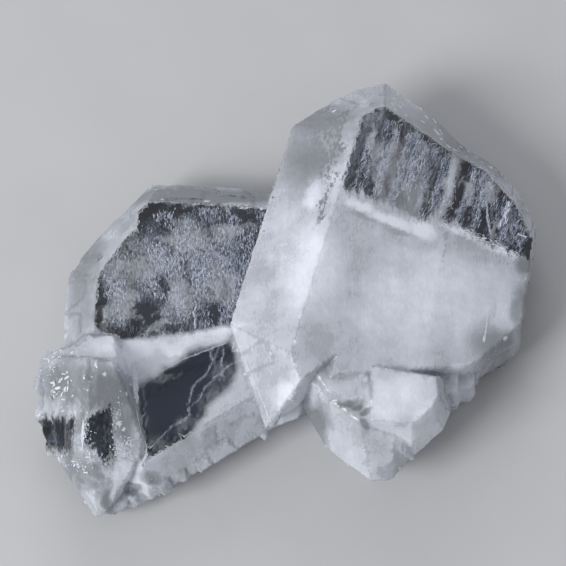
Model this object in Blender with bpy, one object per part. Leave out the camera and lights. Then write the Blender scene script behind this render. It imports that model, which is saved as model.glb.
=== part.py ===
"""Faden quartz cluster: two flattened rock crystals, two stubby points and a fringe of small ones.

Everything grew together, so the whole cluster is one solid. Each crystal is a block cut down by the
planes of its faces, the crystals are united, and the parts below the table are cut away, which
leaves the flats that the cluster rests on. Sizes are in millimetres and angles in degrees until the
mesh is finished, and the finished mesh is in metres with +Z up. The origin is the middle of the
cluster's footprint, on the table.
"""

import math
import random
from collections import namedtuple

import bmesh
import bpy
from mathutils import Euler, Matrix, Vector

# ---------------------------------------------------------------------------------------------
# Driving dimensions
# ---------------------------------------------------------------------------------------------
MM = 0.001
BLOCK = 90.0                       # rough block that every crystal is cut from
TABLE_WIDTH = 200.0                # the cut below the table, wider than the cluster,
TABLE_DEPTH = 40.0                 # and how far down it goes
WELD = 0.008                       # corners closer than this are one corner
NODE = "faden_quartz_cluster"

RHOMB_TILT = 51.8                  # a tip face's normal, from the crystal's long axis
STEEP_TILT = 57.0                  # the same on the left point, whose faces are steeper
BLUNT_TILT = 32.0                  # and on the blunt crystals under its tip

LEFT_PLATE_TOP = 5.0               # top face above the plate's girdle
LEFT_PLATE_GIRDLE = 5.5            # girdle above the table
LEFT_PLATE_TURN = 8.0

RIGHT_PLATE_TOP = 7.0
RIGHT_PLATE_BOTTOM = 6.0
RIGHT_PLATE_GIRDLE = 8.5
RIGHT_PLATE_TILT = 12.0            # the right plate leans over the left one
RIGHT_PLATE_TURN = -17.0
SEAM_STEP = 0.015                  # the right tablet's top is this much lower than its neighbour's

END_LEAN = 0.5                     # most that a growth step's ends lean, for each unit of height
GROWTH_SEED = 5

# A tablet lies flat in its own frame: sides are (bearing, reach, over, under). The reach is from the
# middle to the girdle, and over and under are the run inwards for each unit above and below it.
Tablet = namedtuple("Tablet", "middle turn top bottom sides")


# ---------------------------------------------------------------------------------------------
# Growing one crystal
# ---------------------------------------------------------------------------------------------
def plane(x, y, z, reach):
    """A face plane x*X + y*Y + z*Z = reach, as its unit normal and its distance."""
    normal = Vector((x, y, z))
    return normal.normalized(), reach / normal.length


def side_plane(bearing, reach, run):
    """A side face that leans inwards by run for each unit of height."""
    angle = math.radians(bearing)
    return plane(math.cos(angle), math.sin(angle), run, reach)


def tablet_planes(tablet):
    """The top, the bottom, and an upper and a lower face on each side."""
    planes = [plane(0, 0, 1, tablet.top), plane(0, 0, -1, tablet.bottom)]
    for bearing, reach, over, under in tablet.sides:
        planes.append(side_plane(bearing, reach, over))
        planes.append(side_plane(bearing, reach, -under))
    return planes


def cut_block(planes):
    """A closed convex crystal, cut from the rough block by its face planes."""
    crystal = bmesh.new()
    bmesh.ops.create_cube(crystal, size=BLOCK)
    for normal, reach in planes:
        everything = crystal.verts[:] + crystal.edges[:] + crystal.faces[:]
        cut = bmesh.ops.bisect_plane(
            crystal, geom=everything, dist=0.0001,
            plane_co=normal * reach, plane_no=normal, clear_outer=True)
        rim = [item for item in cut["geom_cut"] if isinstance(item, bmesh.types.BMEdge)]
        if rim:
            bmesh.ops.contextual_create(crystal, geom=rim)
    bmesh.ops.recalc_face_normals(crystal, faces=crystal.faces[:])
    return crystal


def grow(name, planes, placing):
    """Adds one crystal to the ones that will be united."""
    crystal = cut_block(planes)
    crystal.transform(placing)
    mesh = bpy.data.meshes.new(name)
    crystal.to_mesh(mesh)
    crystal.free()
    guide = bpy.data.objects.new(name, mesh)
    guide.hide_render = True
    guide.display_type = "WIRE"
    crystals.objects.link(guide)
    return guide


def tablet_placing(tablet):
    """The matrix that puts a tablet at its middle with its tilt and turn."""
    turn = Euler([math.radians(angle) for angle in tablet.turn]).to_matrix().to_4x4()
    return Matrix.Translation(tablet.middle) @ turn


def grow_tablet(name, tablet):
    """A flattened crystal."""
    return grow(name, tablet_planes(tablet), tablet_placing(tablet))


def grow_step(name, tablet, side, along, width, gain, drop):
    """A short parallel growth on one side of a tablet, between two leaning cuts across that side.

    It stands gain farther out than the side, and its top is drop below the tablet's top.
    """
    bearing, reach, over, under = tablet.sides[side]
    sides = [(at, out - chance.uniform(0.15, 0.4), rise, fall) for at, out, rise, fall in tablet.sides]
    sides[side] = (bearing, reach + gain, over, under)
    step = tablet._replace(top=tablet.top - drop, bottom=tablet.bottom - drop, sides=sides)
    tangent = math.radians(bearing + 90)
    across = (math.cos(tangent), math.sin(tangent))
    planes = tablet_planes(step)
    for way in (1, -1):
        lean = chance.uniform(-END_LEAN, END_LEAN)
        reach = way * along + width / 2 + lean * step.top
        planes.append(plane(way * across[0], way * across[1], lean, reach))
    return grow(name, planes, tablet_placing(tablet))


def step_row(name, tablet, side, start, end, widths, gains, drops):
    """A row of growth steps along one side, of uneven widths and reaches."""
    along = start
    count = 0
    while along < end:
        width = chance.uniform(*widths)
        grow_step(f"{name}_{count}", tablet, side, along + width / 2, width,
                  chance.uniform(*gains), chance.uniform(*drops))
        along += width * chance.uniform(1.1, 2.0)
        count += 1


def grow_point(name, middle, bearing, dip, prism, tip, tilt, more=()):
    """A six-sided crystal with a tip, lying along a bearing and dipping towards its tip.

    prism and tip are (roll, reach) faces. The roll is from straight up, positive to the right as
    seen from above with the tip towards the viewer. more holds planes in the crystal's own frame.
    """
    level = Matrix.Rotation(math.radians(bearing + 90), 4, "Z")
    lower = Matrix.Rotation(math.radians(dip), 4, "X")
    # own X to the right, own Y up and own Z along the axis, which starts out along -Y
    axes = Matrix(((1, 0, 0, 0), (0, 0, -1, 0), (0, 1, 0, 0), (0, 0, 0, 1)))
    placing = Matrix.Translation(middle) @ level @ lower @ axes
    planes = []
    for roll, reach in prism:
        angle = math.radians(roll)
        planes.append(plane(math.sin(angle), math.cos(angle), 0, reach))
    radial = math.sin(math.radians(tilt))
    axial = math.cos(math.radians(tilt))
    for roll, reach in tip:
        angle = math.radians(roll)
        planes.append(plane(math.sin(angle) * radial, math.cos(angle) * radial, axial, reach))
    planes.extend(plane(*cut) for cut in more)
    return grow(name, planes, placing)


# ---------------------------------------------------------------------------------------------
# The scene starts empty
# ---------------------------------------------------------------------------------------------
for old in list(bpy.data.objects):
    bpy.data.objects.remove(old)
crystals = bpy.data.collections.new("crystals")
bpy.context.scene.collection.children.link(crystals)
chance = random.Random(GROWTH_SEED)


# ---------------------------------------------------------------------------------------------
# Left plate: a broad tablet that lies flat, with its right end under the other plate
# ---------------------------------------------------------------------------------------------
left_plate = Tablet(
    middle=(-14.0, 0.0, LEFT_PLATE_GIRDLE),
    turn=(0.0, 0.0, LEFT_PLATE_TURN),
    top=LEFT_PLATE_TOP,
    bottom=LEFT_PLATE_GIRDLE + 0.6,
    sides=[
        (78.0, 18.2, 0.88, 0.50),       # far edge
        (130.5, 16.3, 0.90, 0.55),      # far left corner, two faces
        (138.5, 16.4, 0.95, 0.60),
        (170.0, 16.9, 0.95, 0.50),      # left edge
        (-176.0, 17.7, 0.80, 0.50),
        (-126.0, 26.6, 0.60, 0.50),     # near left corner, inside the left point
        (-65.8, 21.3, 0.75, 0.45),      # near edge
        (-6.0, 17.5, 0.50, 0.50),       # right end, inside the other plate
        (40.0, 19.0, 0.60, 0.50),
    ])
grow_tablet("left_plate", left_plate)

# The far half grew a second, thinner skin, whose own corner leaves a narrower rim there.
grow_tablet("left_plate_skin", left_plate._replace(
    top=LEFT_PLATE_TOP + 0.06,
    bottom=2.0,
    sides=[(78.0, 17.9, 0.86, 0.3), (127.0, 16.1, 0.50, 0.3), (172.0, 8.6, 0.35, 0.3),
           (-89.5, 7.6, 0.35, 0.3), (-6.0, 17.0, 0.5, 0.3)]))

# The toe carries the near edge on under the other plate, at a slightly different bearing.
grow_tablet("left_plate_toe", left_plate._replace(
    top=LEFT_PLATE_TOP - 0.3,
    sides=[(120.0, 6.0, 0.5, 0.5), (180.0, -3.0, 0.5, 0.5), (-74.0, 21.3, 0.75, 0.45),
           (-8.0, 20.5, 0.5, 0.5), (60.0, 8.0, 0.5, 0.5)]))

FAR_EDGE, FAR_LEFT_A, FAR_LEFT_B, LEFT_EDGE, NEAR_EDGE = 0, 1, 2, 3, 6
step_row("far_step", left_plate, FAR_EDGE, -14.0, 5.0, (2.4, 5.6), (0.04, 0.2), (0.4, 1.7))
step_row("far_low_step", left_plate, FAR_EDGE, -12.0, 4.0, (2.6, 6.0), (0.1, 0.35), (2.2, 3.6))
step_row("corner_step", left_plate, FAR_LEFT_A, -4.0, 7.0, (2.0, 4.0), (0.05, 0.2), (0.5, 2.2))
step_row("corner_low_step", left_plate, FAR_LEFT_B, -2.0, 8.0, (2.0, 4.0), (0.05, 0.25), (0.6, 2.4))
step_row("left_step", left_plate, LEFT_EDGE, -4.0, 5.0, (2.4, 4.6), (0.05, 0.2), (0.5, 2.4))
step_row("near_step", left_plate, NEAR_EDGE, -18.0, 1.0, (2.2, 5.0), (0.06, 0.25), (0.5, 2.6))
step_row("near_low_step", left_plate, NEAR_EDGE, -17.0, 1.0, (1.4, 3.2), (0.15, 0.5), (3.0, 4.4))


# ---------------------------------------------------------------------------------------------
# Right plate: two parallel tablets that share a tilt, the left one narrower and a little thicker
# ---------------------------------------------------------------------------------------------
right_plate = Tablet(
    middle=(14.0, 6.0, RIGHT_PLATE_GIRDLE),
    turn=(0.0, RIGHT_PLATE_TILT, RIGHT_PLATE_TURN),
    top=RIGHT_PLATE_TOP,
    bottom=RIGHT_PLATE_BOTTOM,
    sides=[
        (-179.2, 18.2, 1.20, 0.55),     # broad left face
        (-143.5, 24.4, 0.70, 0.45),     # near left face, down to the tip
        (-34.5, 9.3, 0.30, 0.50),       # right of that tip
        (6.4, 9.0, 0.35, 0.50),         # seam against the right tablet
        (63.0, 20.8, 0.74, 0.50),       # far edge, four faces about the apex
        (74.3, 22.4, 0.91, 0.50),
        (123.8, 25.3, 0.80, 0.55),
        (141.6, 23.1, 0.74, 0.55),
    ])
grow_tablet("right_plate", right_plate)

right_wing = Tablet(
    middle=right_plate.middle,
    turn=right_plate.turn,
    top=RIGHT_PLATE_TOP - SEAM_STEP,
    bottom=RIGHT_PLATE_BOTTOM,
    sides=[
        (78.2, 21.1, 0.70, 0.50),       # far edge, three faces round the right corner
        (59.7, 22.2, 0.72, 0.50),
        (41.2, 22.9, 0.66, 0.55),
        (6.9, 20.9, 0.28, 0.45),        # right edge
        (-28.0, 24.0, 0.79, 0.40),      # near right corner, two faces
        (-37.4, 21.2, 0.30, 0.40),
        (-66.0, 18.7, 0.15, 0.50),      # near edge, behind the near point
        (-125.0, 19.6, 0.10, 0.50),     # ends inside the left tablet
        (180.0, 5.5, 0.30, 0.30),
        (7.0, 76.0, 10.0, -3.0),        # top falls away gently towards the right edge
    ])
grow_tablet("right_wing", right_wing)

TIP_FACE, TIP_EDGE, APEX_RIGHT, APEX_LEFT = 1, 2, 4, 7
step_row("tip_face_step", right_plate, TIP_FACE, -2.0, 9.0, (3.0, 6.0), (0.06, 0.18), (2.6, 4.8))
step_row("tip_edge_step", right_plate, TIP_EDGE, -28.0, -23.0, (1.4, 2.6), (0.1, 0.4), (1.5, 4.5))
step_row("apex_step", right_plate, APEX_RIGHT, -8.0, 3.0, (2.6, 5.0), (0.06, 0.22), (0.5, 2.4))
step_row("apex_left_step", right_plate, APEX_LEFT, -8.0, 6.0, (3.6, 6.0), (0.05, 0.15), (1.2, 4.6))

WING_FAR, WING_CORNER, WING_RIGHT, WING_NEAR = 1, 2, 3, 5
step_row("wing_far_step", right_wing, WING_FAR, -5.0, 3.5, (2.0, 4.2), (0.06, 0.3), (0.5, 2.2))
step_row("wing_corner_step", right_wing, WING_CORNER, -5.0, 4.0, (2.6, 5.0), (0.05, 0.2), (1.0, 3.6))
step_row("wing_right_step", right_wing, WING_RIGHT, -12.0, 9.0, (3.4, 6.4), (0.06, 0.25), (1.6, 4.6))
step_row("wing_near_step", right_wing, WING_NEAR, -8.0, 9.0, (2.4, 4.8), (0.06, 0.3), (3.4, 5.6))


# ---------------------------------------------------------------------------------------------
# Left point: a stubby six-sided crystal that dips towards its tip
# ---------------------------------------------------------------------------------------------
LEFT_POINT_MIDDLE = (-26.0, -16.0, 7.5)
LEFT_POINT_BEARING = -93.0
LEFT_POINT_DIP = 14.0
grow_point(
    "left_point", LEFT_POINT_MIDDLE, LEFT_POINT_BEARING, LEFT_POINT_DIP,
    prism=[(-40.0, 6.1), (20.0, 7.0), (80.0, 8.2), (140.0, 8.4), (-160.0, 8.4), (-100.0, 6.6)],
    tip=[(-40.0, 7.8), (20.0, 9.2), (80.0, 9.6), (140.0, 7.9), (-160.0, 7.4), (-100.0, 7.2)],
    tilt=STEEP_TILT,
    more=[(0.0, 1.0, -0.85, 10.4), (0.0, 0.0, -1.0, 10.5), (-1.0, 0.3, -0.9, 11.5),
          (1.0, 0.17, -0.39, 6.5)])

# Parallel ribs on the prism faces and at the shoulder.
for count, (roll, gain, back, front) in enumerate((
        (-40.0, 0.16, 4.5, 2.2), (-40.0, 0.26, 7.0, -2.6), (-100.0, 0.2, 5.0, 3.4),
        (20.0, 0.16, 2.0, 6.4), (20.0, 0.28, 6.6, -1.8), (80.0, 0.2, 4.0, 5.2))):
    prism = [(-40.0, 6.0), (20.0, 6.9), (80.0, 8.1), (140.0, 8.3), (-160.0, 8.3), (-100.0, 6.5)]
    prism = [(at, reach + gain if at == roll else reach - 0.5) for at, reach in prism]
    grow_point(
        f"left_point_rib_{count}", LEFT_POINT_MIDDLE, LEFT_POINT_BEARING, LEFT_POINT_DIP,
        prism=prism, tip=(), tilt=STEEP_TILT,
        more=[(0.0, 0.0, -1.0, back), (0.0, 0.0, 1.0, front), (1.0, 0.17, -0.39, 6.3)])

# Broken stubs at the far left shoulder: middle, bearing, dip, half width and length.
for count, (middle, bearing, dip, half, length) in enumerate((
        ((-32.0, -10.4, 7.0), -120.0, 10.0, 1.9, 2.4),
        ((-32.6, -11.8, 8.4), -135.0, -8.0, 1.6, 2.2),
        ((-31.2, -9.6, 9.0), -150.0, -22.0, 1.6, 1.9),
        ((-30.6, -12.2, 10.4), -110.0, -12.0, 1.8, 2.6),
        ((-32.8, -14.6, 6.2), -100.0, 6.0, 1.3, 2.6),
        ((-28.8, -11.0, 10.8), -80.0, -16.0, 1.9, 2.4),
        ((-31.8, -11.4, 4.2), -150.0, 18.0, 1.7, 2.4),
        ((-28.2, -13.2, 12.2), -95.0, -6.0, 1.4, 2.4))):
    roll = 20.0 * count
    grow_point(
        f"left_stub_{count}", middle, bearing, dip,
        prism=[(roll + 60.0 * n, half * (1.0 + 0.12 * (n % 3))) for n in range(6)],
        tip=[(roll + 30.0 + 120.0 * n, length * 0.8) for n in range(3)],
        tilt=RHOMB_TILT, more=[(0.0, 0.0, -1.0, length)])

# Small crystals under the tip, in a scalloped row.
for count, (middle, half, length) in enumerate((
        ((-22.9, -25.6, 3.4), 1.5, 3.1), ((-21.0, -25.0, 3.0), 1.8, 3.0),
        ((-19.2, -24.6, 3.6), 1.7, 2.6), ((-24.5, -26.2, 2.8), 1.5, 2.9))):
    grow_point(
        f"under_tip_{count}", middle, -88.0 + 6.0 * count, 0.0,
        prism=[(12.0 + 60.0 * n, half) for n in range(6)],
        tip=[(12.0 + 60.0 * n, length) for n in range(6)],
        tilt=BLUNT_TILT, more=[(0.0, 0.0, -1.0, 4.0)])


# ---------------------------------------------------------------------------------------------
# Near point: a blunt crystal in front of the right plate, two caps on one base
# ---------------------------------------------------------------------------------------------
near_point = Tablet(
    middle=(14.0, -16.0, 8.0),
    turn=(0.0, 0.0, 0.0),
    top=6.0,
    bottom=9.0,
    sides=[
        (171.0, 11.7, 0.18, 0.30),
        (-150.5, 9.8, 0.30, 0.35),
        (-126.0, 9.5, 0.75, 0.45),
        (-80.0, 9.5, 1.15, 0.45),       # tip face, from the ledge down to the tip
        (-43.7, 7.0, 0.80, 0.35),
        (-22.0, 7.0, 0.60, 0.30),
        (12.0, 8.2, 0.50, 0.40),
        (90.0, 6.5, 0.60, 0.50),
    ])
grow_tablet("near_point", near_point)
grow_tablet("near_cap_left", near_point._replace(
    top=7.2,
    bottom=2.0,
    sides=[(170.0, 11.4, 0.10, 0.3), (-151.0, 9.3, 0.30, 0.3), (-112.0, 5.0, 0.35, 0.3),
           (-84.0, 3.2, 0.42, 0.3), (4.0, -1.2, 0.20, 0.3), (71.0, 4.6, 0.40, 0.3),
           (124.0, 10.3, 0.25, 0.3)]))
grow_tablet("near_cap_right", near_point._replace(
    top=7.0,
    bottom=2.0,
    sides=[(179.0, 4.6, 0.30, 0.3), (-97.0, 5.9, 0.32, 0.3), (-47.0, 7.1, 0.30, 0.3),
           (-24.0, 8.0, 0.30, 0.3), (6.0, 8.6, 0.30, 0.3), (79.0, 6.5, 0.40, 0.3)]))
POINT_LEFT, POINT_TIP, POINT_NEAR_RIGHT, POINT_RIGHT = 1, 3, 4, 5
step_row("point_left_step", near_point, POINT_LEFT, -3.0, 3.0, (2.4, 4.0), (0.05, 0.15), (0.8, 3.0))
step_row("point_tip_step", near_point, POINT_TIP, -3.0, 3.0, (2.0, 3.6), (0.05, 0.2), (1.6, 5.0))
step_row("point_right_step", near_point, POINT_NEAR_RIGHT, -4.0, 4.0, (1.2, 2.2), (0.1, 0.5), (0.4, 3.6))
step_row("point_far_step", near_point, POINT_RIGHT, -3.0, 6.0, (1.2, 2.4), (0.1, 0.55), (0.4, 4.0))


# ---------------------------------------------------------------------------------------------
# Stair crystals: short parallel blocks in steps between the near point and the right plate
# ---------------------------------------------------------------------------------------------
# middle, reach to the right, reach to the near side, top and turn
for count, (middle, right, near, top, turn) in enumerate((
        ((22.4, -12.0, 4.5), 2.0, 2.4, 5.6, -4.0),
        ((24.4, -11.0, 4.0), 2.0, 2.2, 4.8, 3.0),
        ((25.8, -9.0, 3.6), 1.5, 1.9, 4.6, -6.0),
        ((19.2, -16.2, 4.0), 1.4, 1.6, 4.4, 5.0),
        ((20.8, -14.2, 4.0), 1.4, 1.6, 6.6, 0.0),
        ((23.6, -9.2, 5.0), 1.6, 1.9, 5.4, 8.0),
        ((27.6, -7.4, 2.6), 1.5, 1.5, 2.8, -10.0),
        ((30.0, -6.2, 2.2), 1.4, 1.3, 2.4, -16.0))):
    grow_tablet(f"stair_{count}", Tablet(
        middle=middle,
        turn=(4.0, -3.0 + 2.0 * count, turn),
        top=top,
        bottom=6.0,
        sides=[(0.0, right, 0.10, 0.12), (-90.0, near, 0.14, 0.10),
               (-44.0, (right + near) * 0.62, 0.2, 0.1), (180.0, 2.4, 0.10, 0.10),
               (90.0, 2.6, 0.12, 0.10), (135.0, 3.0, 0.2, 0.2)]))


# ---------------------------------------------------------------------------------------------
# Small growths: the nub under the plates' crossing, and low crystals on the far and right sides
# ---------------------------------------------------------------------------------------------
grow_point(
    "nub", (-2.7, -16.9, 5.4), -96.0, 10.0,
    prism=[(60.0 * n, 0.55) for n in range(6)],
    tip=[(60.0 * n, 1.7) for n in range(6)],
    tilt=RHOMB_TILT, more=[(0.0, 0.0, -1.0, 3.0)])

# middle, bearing, dip, half width, length and roll
for count, (middle, bearing, dip, half, length, roll) in enumerate((
        ((3.4, 12.6, 4.4), 84.0, 2.0, 4.4, 6.4, 8.0),
        ((9.2, 17.0, 4.6), 66.0, -6.0, 3.6, 6.0, 22.0),
        ((15.4, 20.4, 3.6), 96.0, 4.0, 3.2, 4.6, 3.0),
        ((24.0, 11.6, 3.4), 40.0, 6.0, 3.4, 5.2, 15.0),
        ((-1.6, 12.4, 3.2), 112.0, 4.0, 3.0, 3.6, 28.0),
        ((20.2, 16.4, 3.0), 58.0, 2.0, 2.6, 4.4, 40.0))):
    grow_point(
        f"far_crystal_{count}", middle, bearing, dip,
        prism=[(roll + 60.0 * n, half * (1.0 + 0.1 * (n % 2))) for n in range(6)],
        tip=[(roll + 60.0 * n, length * (1.0 + 0.12 * (n % 2))) for n in range(6)],
        tilt=RHOMB_TILT, more=[(0.0, 0.0, -1.0, 6.0)])


# ---------------------------------------------------------------------------------------------
# One solid: the crystals are united and cut off level with the table
# ---------------------------------------------------------------------------------------------
def finish_cluster():
    """Unites the crystals, cuts the flats and puts the origin under the middle of the cluster.

    So many faces lie nearly in one plane that the exact solver leaves open edges between them, and
    the manifold solver closes them.
    """
    first = crystals.objects["left_plate"]
    crystals.objects.unlink(first)
    scene = bpy.context.scene.collection
    scene.objects.link(first)
    union = first.modifiers.new("grown together", "BOOLEAN")
    union.operation = "UNION"
    union.solver = "MANIFOLD"
    union.operand_type = "COLLECTION"
    union.collection = crystals

    table = bpy.data.objects.new("table", bpy.data.meshes.new("table"))
    below = bmesh.new()
    bmesh.ops.create_cube(below, size=1.0)
    size = Matrix.Diagonal((TABLE_WIDTH, TABLE_WIDTH, TABLE_DEPTH, 1))
    below.transform(Matrix.Translation((0, 0, -TABLE_DEPTH / 2)) @ size)
    below.to_mesh(table.data)
    below.free()
    table.hide_render = True
    table.display_type = "WIRE"
    scene.objects.link(table)
    level = first.modifiers.new("level with the table", "BOOLEAN")
    level.operation = "DIFFERENCE"
    level.solver = "MANIFOLD"
    level.object = table

    bpy.context.view_layer.update()
    evaluated = first.evaluated_get(bpy.context.evaluated_depsgraph_get())
    mesh = bpy.data.meshes.new_from_object(evaluated)
    mesh.name = NODE
    lowest = [min(vertex.co[axis] for vertex in mesh.vertices) for axis in range(3)]
    highest = [max(vertex.co[axis] for vertex in mesh.vertices) for axis in range(3)]
    middle = Vector(((lowest[0] + highest[0]) / 2, (lowest[1] + highest[1]) / 2, lowest[2]))
    mesh.transform(Matrix.Scale(MM, 4) @ Matrix.Translation(-middle))
    weld(mesh)

    cluster = bpy.data.objects.new(NODE, mesh)
    scene.objects.link(cluster)
    cluster.data.materials.clear()
    cluster.data.materials.append(rock_crystal())
    for guide in list(crystals.objects) + [first, table]:
        bpy.data.objects.remove(guide)
    return cluster


def weld(mesh):
    """Closes up the hairline edges that the cuts leave, so that no face is a sliver."""
    skin = bmesh.new()
    skin.from_mesh(mesh)
    bmesh.ops.remove_doubles(skin, verts=skin.verts[:], dist=WELD * MM)
    bmesh.ops.dissolve_degenerate(skin, edges=skin.edges[:], dist=WELD * MM)
    skin.to_mesh(mesh)
    skin.free()


def rock_crystal():
    """Clear to milky quartz."""
    material = bpy.data.materials.new("rock_crystal")
    material.use_nodes = True
    shader = material.node_tree.nodes["Principled BSDF"]
    shader.inputs["Base Color"].default_value = (0.82, 0.83, 0.86, 1.0)
    shader.inputs["Roughness"].default_value = 0.08
    shader.inputs["Metallic"].default_value = 0.0
    shader.inputs["IOR"].default_value = 1.544
    shader.inputs["Transmission Weight"].default_value = 0.9
    return material


finish_cluster()
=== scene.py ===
import math
import random

import bpy
import numpy as np
from mathutils import Euler, Matrix, Vector, noise
from mathutils.bvhtree import BVHTree


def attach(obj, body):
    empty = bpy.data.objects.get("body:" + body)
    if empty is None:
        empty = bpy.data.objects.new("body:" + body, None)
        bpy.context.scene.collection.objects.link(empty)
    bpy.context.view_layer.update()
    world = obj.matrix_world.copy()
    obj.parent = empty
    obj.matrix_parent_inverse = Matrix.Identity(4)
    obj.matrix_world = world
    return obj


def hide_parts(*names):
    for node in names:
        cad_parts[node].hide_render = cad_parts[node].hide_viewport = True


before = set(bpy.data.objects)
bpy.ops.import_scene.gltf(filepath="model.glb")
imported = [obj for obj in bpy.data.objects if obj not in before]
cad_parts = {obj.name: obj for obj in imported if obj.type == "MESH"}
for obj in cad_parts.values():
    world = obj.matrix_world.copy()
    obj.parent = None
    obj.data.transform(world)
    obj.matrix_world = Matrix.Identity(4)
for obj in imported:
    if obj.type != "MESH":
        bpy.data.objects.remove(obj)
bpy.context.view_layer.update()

# ---------------------------------------------------------------------------------------------
# The shelf and the light
# A plain pale board under a broad soft lamp at the near left, a weaker one at the far side and an
# even room. The cluster is looked down on from 70 degrees.
# ---------------------------------------------------------------------------------------------
MM = 0.001
SHELF_SIZE = 4.0
SHELF_DROP = 0.15 * MM  # a hair's width, so that the board and the cluster's flats don't share a plane


def linear(code):
    """A six-digit sRGB hex colour as linear RGBA."""
    channels = [int(code[i:i + 2], 16) / 255 for i in (0, 2, 4)]
    return [c / 12.92 if c <= 0.04045 else ((c + 0.055) / 1.055) ** 2.4 for c in channels] + [1.0]


def node(tree, kind, links=(), **settings):
    """Adds a node. Settings are its own, or values for its inputs by name or number (as _0), and
    links are (input, source) pairs."""
    made = tree.nodes.new(kind)
    for name, value in settings.items():
        if name[0] == "_":
            made.inputs[int(name[1:])].default_value = value
        elif hasattr(made, name):
            setattr(made, name, value)
        else:
            made.inputs[name.replace("_", " ")].default_value = value
    for socket, source in links:
        tree.links.new(source, made.inputs[socket])
    return made


def painted_board():
    """Board with matt emulsion paint: an even light grey with a faint mottle, 15 mm across."""
    material = bpy.data.materials.new("painted_board")
    material.use_nodes = True
    tree = material.node_tree
    shader = tree.nodes["Principled BSDF"]
    shader.inputs["Roughness"].default_value = 0.85
    shader.inputs["Specular IOR Level"].default_value = 0.2
    place = node(tree, "ShaderNodeTexCoord").outputs["Object"]
    mottle = node(tree, "ShaderNodeTexNoise", [("Vector", place)], Scale=1 / (15 * MM), Detail=3.0)
    tone = node(tree, "ShaderNodeMix", [(0, mottle.outputs["Fac"])], data_type="RGBA",
                _6=linear("B9BABC"), _7=linear("C1C2C4"))
    tree.links.new(tone.outputs[2], shader.inputs["Base Color"])
    return material


bpy.ops.object.select_all(action="DESELECT")
bpy.ops.mesh.primitive_plane_add(size=SHELF_SIZE, location=(0, 0, -SHELF_DROP))
shelf = bpy.context.object
shelf.name = "shelf"
bpy.ops.object.transform_apply(location=True)
shelf.data.materials.append(painted_board())

VIEW_ELEVATION = 70.0
LENS = 135.0
DISTANCE = 297.15 * MM
AIM = Vector((-0.87, 1.55, 8.0)) * MM

rise = math.radians(VIEW_ELEVATION)
bpy.ops.object.camera_add(
    location=AIM + DISTANCE * Vector((0, -math.cos(rise), math.sin(rise))),
    rotation=(math.pi / 2 - rise, 0, 0))
camera = bpy.context.object
camera.data.lens = LENS
camera.data.clip_start = 0.01
camera.data.clip_end = 20.0
bpy.context.scene.camera = camera


def lamp(name, place, size, watts, colour):
    """A square soft box that faces the cluster."""
    bpy.ops.object.light_add(type="AREA", location=place)
    made = bpy.context.object
    made.name = name
    made.data.size = size
    made.data.energy = watts
    made.data.color = linear(colour)[:3]
    made.rotation_euler = (-Vector(place)).to_track_quat("-Z", "Y").to_euler()


lamp("key_lamp", (-0.52, -0.32, 0.48), 0.32, 4.7, "FFFFFF")
lamp("fill_lamp", (-0.10, 0.70, 0.42), 0.40, 1.6, "F6F8FF")

room = bpy.data.worlds.new("room")
bpy.context.scene.world = room
room.use_nodes = True
room.node_tree.nodes["Background"].inputs["Color"].default_value = linear("E2E3E6")
room.node_tree.nodes["Background"].inputs["Strength"].default_value = 0.54
bpy.context.scene.view_settings.view_transform = "Standard"

# ---------------------------------------------------------------------------------------------
# The cluster
# Rock crystal, grown as two flattened plates and two stubby points. The broad growth faces are
# flat and bright, and the rims and corners between them are stepped, etched and chipped. It is
# clear in the windows, and full of fine fluid inclusions, so milky, elsewhere.
# ---------------------------------------------------------------------------------------------
CLUSTER = "faden_quartz_cluster"
GROWTH_MIDDLE = Vector((0.516, 1.057, 0.0))  # of the cluster's frame, as the solid was grown

# Each plate's own frame: x along its thread, y across it, z through the plate, in millimetres.
LEFT_MIDDLE = Vector((-14.0, 0.0, 5.5)) - GROWTH_MIDDLE
LEFT_TURN = (0.0, 0.0, 8.0)
RIGHT_MIDDLE = Vector((14.0, 6.0, 8.5)) - GROWTH_MIDDLE
RIGHT_TURN = (0.0, 12.0, -17.0)

FINE = 0.18  # mm, the width of the surface's mesh where it is rough
MERGED_FLAT = 0.05  # how much of it is merged where it is flat
LEAST_FACE = 12.0  # mm2, a growth face this large stayed flat
ON_FACE = 0.035  # mm, how near a plane a point counts as on it

# Cosines between a normal and its plane's: of facets of one face, of a point well inside a face,
# and of a fine facet that is still flat
ONE_FACE = 0.9998
INSIDE_FACE = 0.995
STILL_FLAT = 0.9996


def broad_planes(mesh):
    """The planes of the faces that stayed flat: outward normals, and distances in millimetres."""
    normals = np.array([face.normal for face in mesh.polygons])
    middles = np.array([face.center for face in mesh.polygons]) / MM
    areas = np.array([face.area for face in mesh.polygons]) / MM ** 2
    reaches = (normals * middles).sum(axis=1)
    free = np.ones(len(areas), bool)
    planes = []
    for first in np.argsort(-areas):
        same = free & (normals @ normals[first] > ONE_FACE) & (abs(reaches - reaches[first]) < ON_FACE)
        if free[first] and areas[same].sum() > LEAST_FACE:
            planes.append((normals[first], reaches[first]))
        free &= ~same
    return planes


def on_planes(points, normals, planes, alike):
    """Which points lie on one of the planes and face as it does, to a cosine of at least alike."""
    on = np.zeros(len(points), bool)
    for normal, reach in planes:
        on |= (abs(points @ normal - reach) < ON_FACE) & (normals @ normal > alike)
    return on


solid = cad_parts[CLUSTER]
growth = bpy.data.objects.new("quartz_growth", solid.data.copy())
bpy.context.collection.objects.link(growth)
bpy.ops.object.select_all(action="DESELECT")
growth.select_set(True)
bpy.context.view_layer.objects.active = growth
bpy.ops.object.mode_set(mode="EDIT")
bpy.ops.mesh.select_all(action="SELECT")
bpy.ops.mesh.remove_doubles(threshold=0.001 * MM)
bpy.ops.object.mode_set(mode="OBJECT")
planes = broad_planes(growth.data)

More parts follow.
